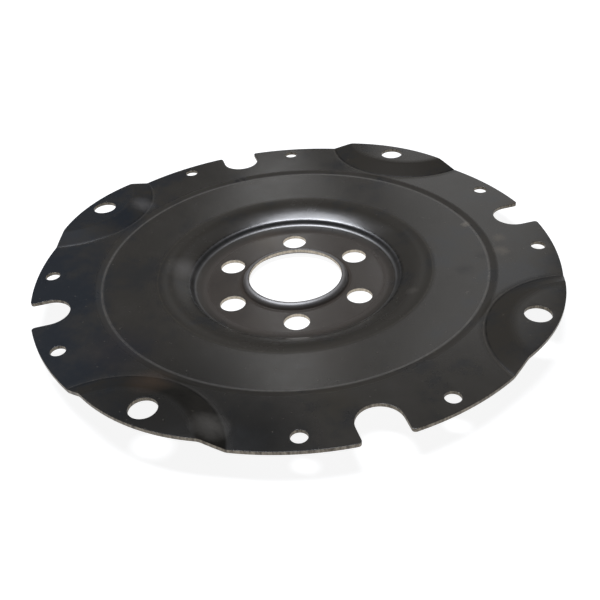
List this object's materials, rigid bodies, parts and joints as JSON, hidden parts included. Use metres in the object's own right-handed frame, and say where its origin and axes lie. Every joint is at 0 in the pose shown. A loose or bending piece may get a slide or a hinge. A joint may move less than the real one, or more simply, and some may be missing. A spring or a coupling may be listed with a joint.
{
  "type": "flexplate",
  "caption": "Pressed steel plate with a sunk hub, lipped bore, short step, dish, conical web and a notched rim with raised bolting pads; it links a crankshaft to a torque converter.",
  "frame": {"origin": "centre of the bore, at the underside of the hub, which bolts to the crankshaft", "axes": "+Z along the bore's axis, towards the torque converter; +X and +Y through the middles of two pads"},
  "size_m": [0.2942, 0.2942, 0.019],
  "materials": {
    "black_steel": "satin black oxide over steel, with bare sheared edges"
  },
  "bodies": {
    "root": {"flexplate": "black_steel"}
  },
  "joints": []
}
